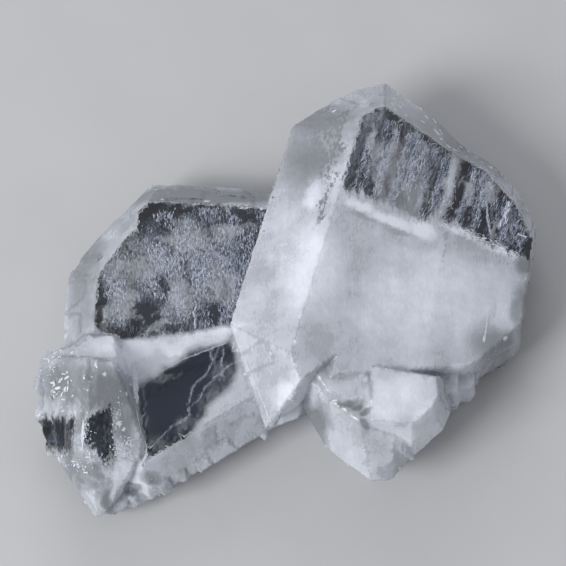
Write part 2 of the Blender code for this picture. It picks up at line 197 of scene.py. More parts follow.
refined = growth.modifiers.new("refined", "REMESH")
refined.mode = "VOXEL"
refined.voxel_size = FINE * MM
refined.adaptivity = MERGED_FLAT
bpy.ops.object.modifier_apply(modifier="refined")

points = np.array([point.co for point in growth.data.vertices]) / MM
facings = np.array([point.normal for point in growth.data.vertices])
etched = ~on_planes(points, facings, planes, INSIDE_FACE)
rough = growth.vertex_groups.new(name="rough")
rough.add([int(index) for index in np.flatnonzero(etched)], 1.0, "REPLACE")


def frost_texture(name, size):
    """Cloudy noise to roughen a surface with."""
    texture = bpy.data.textures.new(name, "CLOUDS")
    texture.noise_scale = size
    return texture


worn = growth.modifiers.new("worn", "SMOOTH")
worn.factor = 0.5
worn.iterations = 5
worn.vertex_group = "rough"
for name, size, height in (("steps", 1.6, 0.34), ("chips", 0.4, 0.17)):
    uneven = growth.modifiers.new(name, "DISPLACE")
    uneven.texture = frost_texture(name, size * MM)
    uneven.strength = height * MM
    uneven.mid_level = 0.5
    uneven.vertex_group = "rough"
for modifier in list(growth.modifiers):
    bpy.ops.object.modifier_apply(modifier=modifier.name)
for point in growth.data.vertices:
    point.co.z = max(point.co.z, 0.0)

middles = np.array([face.center for face in growth.data.polygons]) / MM
facings = np.array([face.normal for face in growth.data.polygons])
flat = on_planes(middles, facings, planes, STILL_FLAT)
growth.data.polygons.foreach_set("use_smooth", ~flat)
frosting = growth.data.attributes.new("etched", "FLOAT", "POINT")
frosting.data.foreach_set("value", etched.astype(float))

# Clear windows as corners in their plate's frame, convex and anticlockwise. The windows of the left
# point are in the cluster's own frame.
UPPER_LEFT_WINDOW = [(-14.0, -2.0), (-9.4, -5.9), (16.0, -5.0), (16.0, 17.0), (-14.0, 17.0)]
LOWER_LEFT_WINDOW = [(-8.4, -12.6), (-8.6, -21.6), (-7.9, -23.9), (-4.4, -22.2), (-1.2, -19.9),
                     (1.8, -17.0), (4.8, -14.0), (6.4, -11.2), (5.8, -6.9), (1.1, -8.1), (-4.4, -10.1)]
UPPER_RIGHT_WINDOW = [(-10.8, 5.2), (3.0, 4.2), (4.3, 6.0), (4.1, 15.0), (2.6, 20.0), (-8.0, 22.0),
                      (-10.8, 16.0)]
WING_WINDOW = [(4.6, 5.8), (21.0, 4.4), (21.0, 18.0), (4.6, 18.0)]
POINT_WINDOW = [(-27.2, -22.9), (-25.8, -24.7), (-24.3, -25.5), (-23.5, -24.5), (-23.5, -22.2),
                (-24.2, -18.2), (-27.2, -20.0)]
POINT_SIDE_WINDOW = [(-36.0, -22.2), (-28.8, -24.2), (-28.8, -19.6), (-36.0, -17.2)]

# Patches in the windows: their middle, and their reach along and across. The inclusions left some
# dark and clear, and in others they hang as a bright veil.
LEFT_CLEARINGS = [((-3.4, 11.6), (2.2, 3.0)), ((1.6, 12.2), (4.0, 1.0)), ((9.0, 10.6), (4.0, 1.0)),
                  ((-3.4, 1.2), (1.3, 1.6)), ((-5.4, -1.2), (1.4, 2.0)), ((-8.4, -4.6), (1.6, 1.4)),
                  ((-1.2, -4.6), (1.8, 0.8)), ((4.2, -3.8), (2.6, 1.4)), ((-11.8, 0.6), (0.6, 3.0)),
                  ((9.0, 5.0), (1.2, 3.4))]
LEFT_VEILS = [((4.6, 0.8), (2.4, 2.6)), ((2.0, 8.0), (3.4, 2.2)), ((-9.0, -0.4), (1.6, 2.6)),
              ((-3.9, -3.4), (1.6, 1.4)), ((-1.0, 0.6), (1.4, 2.6)), ((7.4, 8.6), (2.6, 1.4)),
              ((-6.0, 4.8), (3.0, 1.8))]
LOWER_VEILS = [((-5.0, -20.8), (2.8, 1.4)), ((-1.6, -18.6), (3.0, 1.4)), ((1.8, -15.6), (2.6, 1.6)),
               ((4.2, -12.6), (1.6, 1.8)), ((-4.0, -11.4), (2.6, 0.7))]
RIGHT_CLEARINGS = [((-9.0, 8.4), (1.0, 4.2)), ((-7.0, 5.6), (1.8, 1.3)), ((-6.2, 16.2), (0.7, 2.6)),
                   ((-9.3, 12.4), (0.9, 2.4)), ((3.0, 12.6), (0.9, 3.6)), ((0.2, 16.8), (2.2, 1.2)),
                   ((6.2, 8.0), (1.0, 2.4)), ((8.8, 7.2), (1.9, 1.8)), ((13.0, 11.8), (0.8, 1.8)),
                   ((15.6, 6.6), (1.0, 2.6)), ((18.0, 5.2), (1.2, 2.2)), ((6.0, 14.4), (1.0, 1.4)),
                   ((11.0, 8.2), (0.9, 2.6))]
RIGHT_VEILS = [((-3.4, 9.6), (1.6, 5.0)), ((-0.4, 7.0), (2.0, 4.0)), ((-7.4, 12.4), (1.0, 2.4)),
               ((4.7, 10.6), (0.7, 5.0)), ((7.4, 11.6), (0.8, 3.0)), ((12.6, 7.2), (0.6, 2.6)),
               ((16.8, 10.2), (1.2, 2.0)), ((10.8, 13.0), (1.4, 1.6))]

# Where the milk is densest, and where it is thin and grey, in the cluster's frame. Some dense patches
# are
# painted light: they whiten facets of the near point and the knobs at the right that the lamps leave in
# shade, and one is a painted glint beside the left point's window.
DENSE_MILK_AND_PAINTED_LIGHT = [((3.3, 11.8), (1.2, 2.2)), ((21.0, -3.4), (12.0, 6.0)), ((3.0, 1.0), (4.0, 6.0)),
              ((-22.6, -10.2), (4.0, 2.0)), ((13.4, -17.4), (5.0, 3.0)), ((18.8, -20.4), (3.4, 3.0)),
              ((0.6, -16.8), (2.4, 2.4)), ((23.6, -13.4), (2.8, 1.8)), ((-22.3, -23.8), (1.6, 1.8)),
              ((-22.2, -26.6), (3.0, 2.0))]
THIN_MILK = [((4.0, 23.4), (6.0, 3.4)), ((2.4, 18.0), (3.6, 5.0)), ((28.4, -8.2), (3.6, 2.6)),
             ((3.2, -20.4), (1.8, 3.2)), ((-30.4, -14.4), (3.0, 2.8)), ((24.0, 22.0), (8.0, 5.0)),
             ((-28.4, 3.0), (2.6, 9.0)), ((-13.0, 14.2), (10.0, 1.8)), ((-25.0, -16.4), (4.4, 3.0)),
             ((-21.6, -20.4), (1.6, 3.0)), ((-28.4, -26.0), (2.0, 2.0)), ((31.9, -2.8), (1.3, 3.0)),
             ((-19.0, -26.4), (1.6, 0.8))]

# Notches and sunk facets that are nearly clear. The first four patches, along the notch in the near
# point and the dark spot below it, are also painted shade in its hollow.
SUNK_MILK_AND_NOTCH_SHADE = [((7.4, -17.7), (1.0, 0.45)), ((8.9, -18.5), (1.0, 0.45)), ((10.3, -19.3), (0.9, 0.35)),
             ((9.8, -20.7), (0.6, 0.55)), ((-24.6, -29.4), (0.7, 1.6)), ((-21.2, -27.9), (1.0, 0.4)),
             ((2.4, -18.6), (0.7, 2.0)), ((-12.6, 14.9), (9.0, 2.0)), ((32.6, 4.0), (1.0, 2.2))]

# The left point is shattered inside, so bright and dark flakes lie side by side in it
BROKEN_POINT = [((-27.2, -21.6), (5.4, 6.8))]

# The threads where they come up to the faces, and a darker, clearer line painted as the thread's shadow
# along one side of the right one
LEFT_SEAM = [((-3.0, -7.2), (7.0, 1.0)), ((3.0, -6.2), (5.0, 0.7))]
RIGHT_SEAM = [((-6.4, 3.4), (2.2, 0.7)), ((-1.8, 2.9), (3.4, 0.8)), ((2.6, 3.3), (2.0, 1.4)),
              ((8.6, 5.0), (3.2, 0.5)), ((13.8, 4.8), (3.2, 0.6))]
RIGHT_SHADOW = [((-4.6, 2.1), (3.2, 0.4)), ((0.4, 1.8), (2.6, 0.35))]

# A streak of small etched pits down the right plate's broad left face, in the plate's frame
ETCHED_STREAK = [((-13.4, 15.0), (1.4, 2.6)), ((-12.2, 9.6), (0.8, 3.0)), ((-11.2, 3.6), (0.5, 3.4)),
                 ((-15.4, 17.0), (1.6, 1.4))]


def plate_frame(tree, place, middle, turn):
    """Object coordinates turned into a plate's own millimetres."""
    return node(tree, "ShaderNodeMapping", [("Vector", place)], vector_type="TEXTURE",
                Location=middle * MM, Rotation=[math.radians(a) for a in turn],
                Scale=(MM, MM, MM)).outputs["Vector"]


def wavering(tree, own, width, amount, detail=4.0):
    """A frame's millimetres pushed about by noise, so that soft shapes in it turn out irregular."""
    push = node(tree, "ShaderNodeTexNoise", [("Vector", own)], Scale=1 / width, Detail=detail,
                Roughness=0.65)
    push = node(tree, "ShaderNodeVectorMath", [(0, push.outputs["Color"])], operation="SUBTRACT",
                _1=(0.5, 0.5, 0.5))
    return node(tree, "ShaderNodeVectorMath", [(0, push.outputs[0]), (2, own)],
                operation="MULTIPLY_ADD", _1=(amount, amount, amount)).outputs[0]


def greatest(tree, fields):
    """The greatest of several fields. They may come one by one, so that each is used as it is made."""
    top = None
    for field in fields:
        if top is None:
            top = field
        else:
            top = node(tree, "ShaderNodeMath", [(0, top), (1, field)], operation="MAXIMUM").outputs[0]
    return top


def blended(tree, parts, low, high, least=0.0, most=1.0):
    """Fields added up, each times its share, then stretched so that low to high fills least to most."""
    first, its_share = parts[0]
    total = node(tree, "ShaderNodeMath", [(0, first)], operation="MULTIPLY", _1=its_share).outputs[0]
    for field, share in parts[1:]:
        total = node(tree, "ShaderNodeMath", [(0, field), (2, total)], operation="MULTIPLY_ADD",
                     _1=share).outputs[0]
    return node(tree, "ShaderNodeMapRange", [("Value", total)], From_Min=low, From_Max=high,
                To_Min=least, To_Max=most).outputs[0]


def gaps(tree, own, corners):
    """How far a place is past each side of a convex outline."""
    for (x0, y0), (x1, y1) in zip(corners, corners[1:] + corners[:1]):
        length = math.hypot(x1 - x0, y1 - y0)
        out = Vector(((y1 - y0) / length, (x0 - x1) / length, 0))
        across = node(tree, "ShaderNodeVectorMath", [(0, own)], operation="DOT_PRODUCT", _1=out)
        yield node(tree, "ShaderNodeMath", [(0, across.outputs["Value"])], operation="SUBTRACT",
                   _1=out.x * x0 + out.y * y0).outputs[0]


def window(tree, own, corners, waver, softness):
    """1 in a convex outline and 0 past it. Its edge wanders by waver and is as soft as softness."""
    past = greatest(tree, gaps(tree, own, corners))
    ragged = node(tree, "ShaderNodeMath", [(0, past), (1, waver)], operation="ADD")
    return node(tree, "ShaderNodeMapRange", [("Value", ragged.outputs[0])],
                interpolation_type="SMOOTHSTEP", From_Min=-softness, From_Max=softness, To_Min=1.0,
                To_Max=0.0).outputs[0]


def spots(tree, own, places):
    """Ovals through the whole cluster that fall from 1 in the middle to 0 a little past their reach."""
    for (x, y), (along, over) in places:
        oval = node(tree, "ShaderNodeTexGradient", [("Vector", own)], gradient_type="SPHERICAL")
        oval.texture_mapping.vector_type = "TEXTURE"
        oval.texture_mapping.translation = (x, y, 0)
        oval.texture_mapping.scale = (1.6 * along, 1.6 * over, 100.0)
        yield oval.outputs["Fac"]


def patches(tree, own, places):
    """Soft oval patches, each 1 around its middle."""
    return node(tree, "ShaderNodeMapRange", [("Value", greatest(tree, spots(tree, own, places)))],
                interpolation_type="SMOOTHSTEP", From_Min=0.0, From_Max=0.8).outputs[0]


def drawn_noise(tree, own, stretch, width, detail, tilt=0.0):
    """Noise of a width in millimetres, drawn out along the axes whose stretch is less than 1."""
    drawn = node(tree, "ShaderNodeMapping", [("Vector", own)], Scale=stretch,
                 Rotation=(0, 0, math.radians(tilt)))
    return node(tree, "ShaderNodeTexNoise", [("Vector", drawn.outputs[0])], Scale=1 / width,
                Detail=detail, Roughness=0.6).outputs["Fac"]


def crystal_frames(tree, place):
    """The cluster's and each plate's millimetres by name, and the same pushed about by noise."""
    whole = plate_frame(tree, place, Vector((0, 0, 0)), (0, 0, 0))
    left = plate_frame(tree, place, LEFT_MIDDLE, LEFT_TURN)
    right = plate_frame(tree, place, RIGHT_MIDDLE, RIGHT_TURN)
    return {"whole": whole, "left": left, "right": right,
            "soft whole": wavering(tree, whole, 5.0, 4.0, 2.0),
            "bent left": wavering(tree, left, 2.6, 5.5),
            "bent right": wavering(tree, right, 2.6, 5.0),
            "frayed right": wavering(tree, right, 1.0, 1.6)}


def inclusion_patterns(tree, whole):
    """Clouds 5 mm across, veils 2.5 by 6 mm, flecks 0.3 by 0.7 mm, streaks 1.7 by 17 mm, growth
    lines 0.5 by 10 mm and etched pits 0.4 by 0.8 mm."""
    return {"cloud": drawn_noise(tree, whole, (1.0, 1.0, 1.0), 5.0, 7.0),
            "veil": drawn_noise(tree, whole, (1.0, 0.40, 0.5), 2.5, 6.0, -4.0),
            "fleck": drawn_noise(tree, whole, (1.0, 0.45, 0.6), 0.30, 2.0, -6.0),
            "streak": drawn_noise(tree, whole, (1.0, 0.10, 0.25), 1.7, 5.0, -4.0),
            "growth line": drawn_noise(tree, whole, (1.0, 0.05, 0.1), 0.5, 2.0),
            "pit": drawn_noise(tree, whole, (1.0, 0.55, 0.6), 0.42, 2.0, -8.0)}


def facing_only(tree, opening, normal, turn):
    """An opening kept to a plate's two broad faces, because its rims are frosted."""
    axis = Euler([math.radians(a) for a in turn]).to_matrix() @ Vector((0, 0, 1))
    square = node(tree, "ShaderNodeVectorMath", [(0, normal)], operation="DOT_PRODUCT", _1=axis)
    square = node(tree, "ShaderNodeMath", [(0, square.outputs["Value"])], operation="ABSOLUTE")
    broad = node(tree, "ShaderNodeMapRange", [("Value", square.outputs[0])], From_Min=0.90,
                 From_Max=0.94)
    return node(tree, "ShaderNodeMath", [(0, opening), (1, broad.outputs[0])],
                operation="MULTIPLY").outputs[0]


def clear_windows(tree, frames, patterns, normal):
    """How clear the crystal is in each window. The milk in them is flecked, veiled, streaked or
    striated, or they are nearly clean."""
    cloud, veil, fleck = patterns["cloud"], patterns["veil"], patterns["fleck"]
    streak = patterns["streak"]
    left, right, whole = frames["left"], frames["right"], frames["whole"]
    bent_left, bent_right = frames["bent left"], frames["bent right"]

    # how far each kind of edge wanders, in millimetres
    wander = blended(tree, [(cloud, 1.0)], 0.3, 0.7, -0.6, 0.6)
    frayed = blended(tree, [(streak, 0.7), (fleck, 0.3)], 0.35, 0.65, 1.1, -1.1)
    nibbled = blended(tree, [(veil, 0.5), (fleck, 0.5)], 0.35, 0.65, 0.9, -0.9)

    flecked = blended(tree, [(cloud, 0.4), (veil, 0.4), (fleck, 0.6),
                             (patches(tree, bent_left, LEFT_VEILS), 0.16),
                             (patches(tree, bent_left, LEFT_CLEARINGS), -0.34)], 0.62, 1.18, 0.02, 0.66)
    clean = blended(tree, [(patches(tree, bent_left, LOWER_VEILS), 0.13), (veil, 0.45), (streak, 0.2),
                           (fleck, 0.35)], 0.56, 1.2, 0.0, 0.6)
    open_right = patches(tree, bent_right, RIGHT_CLEARINGS)
    hung_right = patches(tree, bent_right, RIGHT_VEILS)
    veiled = blended(tree, [(veil, 0.4), (fleck, 0.25), (streak, 0.6), (hung_right, 0.16),
                            (open_right, -0.28)], 0.55, 1.13, 0.03, 0.68)
    streaked = blended(tree, [(streak, 0.8), (veil, 0.2), (fleck, 0.25), (hung_right, 0.16),
                              (open_right, -0.34)], 0.61, 1.17, 0.02, 0.66)
    striated = blended(tree, [(patterns["growth line"], 0.30), (streak, 0.5), (fleck, 0.2)],
                       0.50, 0.90, 0.0, 0.6)

    seen = []
    for own, turn, corners, waver, softness, milk in (
            (left, LEFT_TURN, UPPER_LEFT_WINDOW, wander, 0.5, flecked),
            (left, LEFT_TURN, LOWER_LEFT_WINDOW, wander, 0.9, clean),
            (right, RIGHT_TURN, UPPER_RIGHT_WINDOW, frayed, 0.8, veiled),
            (right, RIGHT_TURN, WING_WINDOW, frayed, 0.7, streaked),
            (whole, None, POINT_WINDOW, nibbled, 0.6, clean),
            (whole, None, POINT_SIDE_WINDOW, nibbled, 1.0, striated)):
        opening = window(tree, own, corners, waver, softness)
        if turn is not None:
            opening = facing_only(tree, opening, normal, turn)
        through = node(tree, "ShaderNodeMath", [(1, milk)], operation="SUBTRACT", _0=1.0)
        seen.append(node(tree, "ShaderNodeMath", [(0, opening), (1, through.outputs[0])],
                         operation="MULTIPLY").outputs[0])
    return seen


def milk_density_and_painted_light(tree, frames, patterns, frosted):
    """How dense the inclusions are: 1 is white, and 0 is thin, grey and slightly see-through. Some of
    its
    patches are painted light and shade: they whiten shaded facets, paint a glint, and darken a notch
    and a line beside a thread.
    """
    pitted = node(tree, "ShaderNodeMath", [(0, patches(tree, frames["bent right"], ETCHED_STREAK)),
                                           (1, blended(tree, [(patterns["pit"], 1.0)], 0.46, 0.51))],
                  operation="MULTIPLY").outputs[0]
    flakes = drawn_noise(tree, frames["soft whole"], (1.0, 0.28, 0.6), 1.3, 3.0)
    broken = node(tree, "ShaderNodeMath", [(0, blended(tree, [(flakes, 1.0)], 0.36, 0.64, -0.6, 0.24)),
                                           (1, patches(tree, frames["whole"], BROKEN_POINT))],
                  operation="MULTIPLY").outputs[0]
    return blended(tree, [(patterns["cloud"], 0.42), (patterns["streak"], 0.14),
                          (patterns["fleck"], 0.15),
                          (patches(tree, frames["soft whole"], DENSE_MILK_AND_PAINTED_LIGHT), 0.17),
                          (patches(tree, frames["soft whole"], THIN_MILK), -0.30),
                          (patches(tree, frames["soft whole"], SUNK_MILK_AND_NOTCH_SHADE), -0.38),
                          (patches(tree, frames["bent left"], LEFT_SEAM), 0.15),
                          (patches(tree, frames["frayed right"], RIGHT_SEAM), 0.24),
                          (patches(tree, frames["frayed right"], RIGHT_SHADOW), -0.09),
                          (frosted, -0.09), (broken, 0.55), (pitted, -0.85)], 0.02, 0.56)


def rock_crystal():
    """Natural quartz with glassy growth faces. It is see-through where it holds no inclusions.
    Elsewhere they scatter the light and make it milky, with streaks across the thread."""
    material = bpy.data.materials.new("rock_crystal")
    material.use_nodes = True
    tree = material.node_tree
    shader = tree.nodes["Principled BSDF"]
    shader.inputs["IOR"].default_value = 1.544
    shader.inputs["Subsurface Radius"].default_value = (1.0, 1.0, 1.0)
    shader.inputs["Subsurface Scale"].default_value = 2.0 * MM
    shader.inputs["Subsurface Weight"].default_value = 0.6
    place = node(tree, "ShaderNodeTexCoord").outputs["Object"]
    surface = node(tree, "ShaderNodeNewGeometry")
    frosted = node(tree, "ShaderNodeAttribute", attribute_name="etched").outputs["Fac"]
    frames = crystal_frames(tree, place)
    patterns = inclusion_patterns(tree, frames["whole"])
    seen = clear_windows(tree, frames, patterns, surface.outputs["True Normal"])
    level = milk_density_and_painted_light(tree, frames, patterns, frosted)

    # painted highlights: sharp edges and chipped corners, where the pointiness is high, are painted
    # white and kept out of the clear, even in a window, in place of the light they catch
    corner = blended(tree, [(surface.outputs["Pointiness"], 1.0)], 0.535, 0.605, 0.0, 0.9)
    level = greatest(tree, [level, corner])
    haze = blended(tree, [(level, 1.0)], 0.0, 0.7, 0.6, 0.0)
    off_edge_highlight = node(tree, "ShaderNodeMath", [(1, corner)], operation="SUBTRACT", _0=1.0).outputs[0]
    clear = node(tree, "ShaderNodeMath", [(0, greatest(tree, seen + [haze])), (1, off_edge_highlight)],
                 operation="MULTIPLY").outputs[0]
    tree.links.new(clear, shader.inputs["Transmission Weight"])

    milk = node(tree, "ShaderNodeMix", [(0, level)], data_type="RGBA", _6=linear("5C6270"),
                _7=linear("E0E4ED"))
    glass = node(tree, "ShaderNodeMix", [(0, clear), (6, milk.outputs[2])], data_type="RGBA",
                 _7=linear("EEF2F8"))
    tree.links.new(glass.outputs[2], shader.inputs["Base Color"])
    rough = node(tree, "ShaderNodeMapRange", [("Value", clear)], To_Min=0.30, To_Max=0.03)
    tree.links.new(rough.outputs[0], shader.inputs["Roughness"])
    grit = node(tree, "ShaderNodeMath", [(0, frosted)], operation="MULTIPLY", _1=0.5)
    relief = node(tree, "ShaderNodeBump",
                  [("Height", patterns["fleck"]), ("Strength", grit.outputs[0])], Distance=0.10 * MM)
    tree.links.new(relief.outputs[0], shader.inputs["Normal"])

    # lamps reach what is inside and beneath through the clear parts
    tint = node(tree, "ShaderNodeMix", [(0, clear)], data_type="RGBA", _6=linear("000000"),
                _7=linear("E4E6E9"))
    passing = node(tree, "ShaderNodeBsdfTransparent", [("Color", tint.outputs[2])])
    path = node(tree, "ShaderNodeLightPath")
    lit = node(tree, "ShaderNodeMixShader", [(0, path.outputs["Is Shadow Ray"]), (1, shader.outputs[0]),
                                             (2, passing.outputs[0])])
    output = tree.nodes["Material Output"]
    tree.links.new(lit.outputs[0], output.inputs["Surface"])
    absorbing = node(tree, "ShaderNodeVolumeAbsorption", Color=linear("C5CBD6"), Density=206.0)
    tree.links.new(absorbing.outputs[0], output.inputs["Volume"])
    return material


growth.data.materials.clear()
growth.data.materials.append(rock_crystal())
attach(growth, "root")
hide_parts(CLUSTER)


# ---------------------------------------------------------------------------------------------
# The faden threads
# One runs through each plate from side to side: a white bundle of fine fluid-filled tubes, where
# the crystal broke and healed over and over as it grew. Hair-fine tubes stand out across it.
# ---------------------------------------------------------------------------------------------
def inclusion_white():
    """Bundles of tiny fluid and gas bubbles in the quartz: they scatter all light, so they look
    like white frost, with a faint grey where they thin out."""
    material = bpy.data.materials.new("inclusion_white")
    material.use_nodes = True
    tree = material.node_tree
    shader = tree.nodes["Principled BSDF"]
    shader.inputs["Subsurface Weight"].default_value = 0.3
    shader.inputs["Subsurface Radius"].default_value = (1.0, 1.0, 1.0)
    shader.inputs["Subsurface Scale"].default_value = 0.4 * MM
    place = node(tree, "ShaderNodeTexCoord").outputs["Object"]
    frost = node(tree, "ShaderNodeTexNoise", [("Vector", place)], Scale=1 / (0.5 * MM), Detail=4.0)
    tone = node(tree, "ShaderNodeMix", [(0, frost.outputs["Fac"])], data_type="RGBA",
                _6=linear("C6CEDE"), _7=linear("F4F7FF"))
    tree.links.new(tone.outputs[2], shader.inputs["Base Color"])
    rough = node(tree, "ShaderNodeMapRange", [("Value", frost.outputs["Fac"])], To_Min=0.35, To_Max=0.6)
    tree.links.new(rough.outputs[0], shader.inputs["Roughness"])
    return material


WHITE = inclusion_white()


def own_frame(middle, turn):
    """The matrix from a plate's own millimetres to metres."""
    turned = Euler([math.radians(a) for a in turn]).to_matrix().to_4x4()
    return Matrix.Scale(MM, 4) @ Matrix.Translation(middle) @ turned


LEFT_FRAME = own_frame(LEFT_MIDDLE, LEFT_TURN)
RIGHT_FRAME = own_frame(RIGHT_MIDDLE, RIGHT_TURN)
WHOLE_FRAME = Matrix.Scale(MM, 4)


def settle(piece, place):
    """Puts a piece made in a plate's millimetres in its place, and fixes it in the cluster."""
    piece.data.transform(place)
    piece.data.materials.clear()
    piece.data.materials.append(WHITE)
    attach(piece, "root")
    return piece


def thread(name, route, width, thickness, place):
    """A lumpy flattened cord along a route of points."""
    bpy.ops.object.select_all(action="DESELECT")
    bpy.ops.curve.primitive_nurbs_path_add()
    piece = bpy.context.object
    piece.name = name
    spline = piece.data.splines[0]
    spline.points.add(len(route) - len(spline.points))
    for point, at in zip(spline.points, route):
        point.co = (*at, 1.0)
    piece.data.resolution_u = 24
    piece.data.bevel_depth = width / 2
    piece.data.bevel_resolution = 5
    piece.data.use_fill_caps = True
    bpy.ops.object.convert(target="MESH")
    piece = bpy.context.object
    depth = sum(at[2] for at in route) / len(route)
    for point in piece.data.vertices:
        point.co.z = depth + (point.co.z - depth) * thickness / width
    for kind, size, height in (("lumps", 0.9, 0.5), ("frost", 0.25, 0.18)):
        uneven = piece.modifiers.new(kind, "DISPLACE")
        uneven.texture = frost_texture(f"{name}_{kind}", size)
        uneven.strength = width * height
        bpy.ops.object.modifier_apply(modifier=kind)
    bpy.ops.object.shade_smooth()
    return settle(piece, place)


# The threads' routes and the cracks' are in their plate's millimetres
LEFT_THREAD = [(-9.6, -7.0, 2.6), (-6.0, -6.8, 2.8), (-2.0, -6.5, 3.0), (2.0, -6.3, 3.0),
               (8.0, -6.0, 2.6)]
RIGHT_THREAD = [(-11.0, 4.3, 5.0), (-8.0, 4.2, 5.2), (-4.0, 3.9, 5.4), (0.0, 3.6, 5.6),
                (3.8, 3.3, 5.6)]
thread("left_faden", LEFT_THREAD, 1.9, 1.3, LEFT_FRAME)
thread("right_faden", RIGHT_THREAD, 1.5, 1.0, RIGHT_FRAME)


def sliver(name, sides):
    """One double-ended sliver of unit size, modelled once: a ball with few faces."""
    bpy.ops.object.select_all(action="DESELECT")
    bpy.ops.mesh.primitive_uv_sphere_add(segments=sides, ring_count=3, radius=0.5,
                                         rotation=(math.pi / 2, 0, 0))
    piece = bpy.context.object
    bpy.ops.object.transform_apply(rotation=True)
    mesh = piece.data
    mesh.name = name
    bpy.data.objects.remove(piece)
    return mesh


def joined_copies(name, mesh, placings, place):
    """One piece of many copies of a small mesh."""
    points = [placing @ point.co for placing in placings for point in mesh.vertices]
    corners = [tuple(face.vertices) for face in mesh.polygons]
    step = len(mesh.vertices)
    faces = [tuple(step * copy + corner for corner in face)
             for copy in range(len(placings)) for face in corners]
    joined = bpy.data.meshes.new(name)
    joined.from_pydata(points, [], faces)
    piece = bpy.data.objects.new(name, joined)
    bpy.context.collection.objects.link(piece)
    return settle(piece, place)


def lying(at, bearing, dip, size):
    """Places a sliver at a point, its long axis turned by bearing and dipped by dip, at a size."""
    turn = Euler((math.radians(dip), 0, math.radians(bearing))).to_matrix().to_4x4()
    return Matrix.Translation(at) @ turn @ Matrix.Diagonal((*size, 1.0))


SKIN = BVHTree.FromPolygons([point.co for point in solid.data.vertices],
                            [tuple(face.vertices) for face in solid.data.polygons])


def buried(at, place, depth):
    """Whether a point in a plate's millimetres is at least so deep inside the cluster."""
    point = place @ at
    nearest, outward, _, _ = SKIN.find_nearest(point)
    return (nearest - point).dot(outward) > depth * MM


def along_route(route, share):
    """A point at a share of the way along a route, and the route's bearing from its y axis there."""
    at = share * (len(route) - 1)
    first = min(int(at), len(route) - 2)
    start = Vector(route[first])
    step = Vector(route[first + 1]) - start
    return start + step * (at - first), math.degrees(math.atan2(-step.x, step.y))


TUBES = 700  # across each thread
TUBE_DEPTH = 0.3  # mm, how deep inside the cluster a tube's middle has to be

chance = random.Random(11)
TUBE = sliver("tube", 4)
for name, route, place in (("left_faden_tubes", LEFT_THREAD, LEFT_FRAME),
                           ("right_faden_tubes", RIGHT_THREAD, RIGHT_FRAME)):
    tubes = []
    for _ in range(TUBES):
        at, _ = along_route(route, chance.random())
        long = chance.uniform(0.8, 3.2) * (1.0 if chance.random() < 0.8 else 1.8)
        at += Vector((chance.gauss(0, 0.1), chance.gauss(0.35, 0.6), chance.gauss(0, 0.4)))
        thin = chance.uniform(0.03, 0.09)
        if buried(at, place, TUBE_DEPTH):
            tubes.append(lying(at, chance.gauss(0, 7), chance.gauss(0, 8), (thin, long, thin)))
    joined_copies(name, TUBE, tubes, place)


# ---------------------------------------------------------------------------------------------
# Flecks in the windows
# Flat bubbles and broken slivers of healed crack, thousands of them in each plate, upright with
# the growth. They crowd in clouds, and in the wing they hang in long streaks.
# ---------------------------------------------------------------------------------------------
BUBBLE = sliver("bubble", 4)
BUBBLE_DEPTH = 0.35  # mm, how deep inside the cluster a bubble's middle has to be


def flecks(name, count, low, high, crowd, longest, place):
    """Upright flecks in a box, more of them where crowd is high."""
    placings = []
    while len(placings) < count:
        at = Vector([chance.uniform(a, b) for a, b in zip(low, high)])
        if chance.random() > crowd(at) or not buried(at, place, BUBBLE_DEPTH):
            continue
        long = longest * chance.uniform(0.2, 1.0) ** 1.6
        wide = min(long * 0.6, chance.uniform(0.05, 0.18))
        placings.append(lying(at, chance.gauss(-6, 14), chance.gauss(0, 20), (wide, long, wide * 0.5)))
    return joined_copies(name, BUBBLE, placings, place)


def left_crowd(at):
    """Crowded clouds, thinner away from the window's middle and in the clearing at its lower left."""
    clear = max(0.0, 1.0 - math.hypot((at.x + 5.4) / 2.6, (at.y + 1.6) / 4.0))
    cloud = noise.noise(Vector((at.x, at.y * 0.6, at.z)) * 0.45)
    return cloud * 0.9 + 0.42 - clear * 0.5 - abs(at.y - 4.5) * 0.03


def right_crowd(at):
    """Long upright drifts."""
    return noise.noise(Vector((at.x * 0.9, at.y * 0.12, at.z * 0.3))) + 0.25


flecks("left_plate_flecks", 12000, (-12.4, -5.2, 1.0), (14.0, 13.0, 4.7), left_crowd, 0.9, LEFT_FRAME)
flecks("right_plate_flecks", 7000, (-10.4, 4.4, 3.0), (18.0, 17.5, 6.4), right_crowd, 1.6, RIGHT_FRAME)


# ---------------------------------------------------------------------------------------------
# Healed cracks
# Cracks that the crystal closed again: feathery white lines of bubbles along a wandering sheet.
# Most are in the left plate's lower window. Others are single bright scratches and flashes.
# ---------------------------------------------------------------------------------------------
SLIVERS = 26  # to each millimetre of a crack


def route_length(route):
    """How long a route is, in millimetres."""
    return sum((Vector(b) - Vector(a)).length for a, b in zip(route, route[1:]))


def feather(routes, spread, length, thick):
    """Slivers strewn along routes, long ways with each, as many as its length needs."""
    placings = []
    for route in routes:
        for _ in range(int(route_length(route) * SLIVERS)):
            at, bearing = along_route(route, chance.random())
            wave = noise.noise(at * 0.9) * 0.5
            off = Vector((wave + chance.gauss(0, spread), chance.gauss(0, spread),
                          chance.gauss(0, spread * 2)))
            long = chance.uniform(0.3, 1.0) * length
            placings.append(lying(at + off, bearing + chance.gauss(0, 16), chance.gauss(0, 10),
                                  (thick * chance.uniform(0.5, 1.2), long, thick)))
    return placings


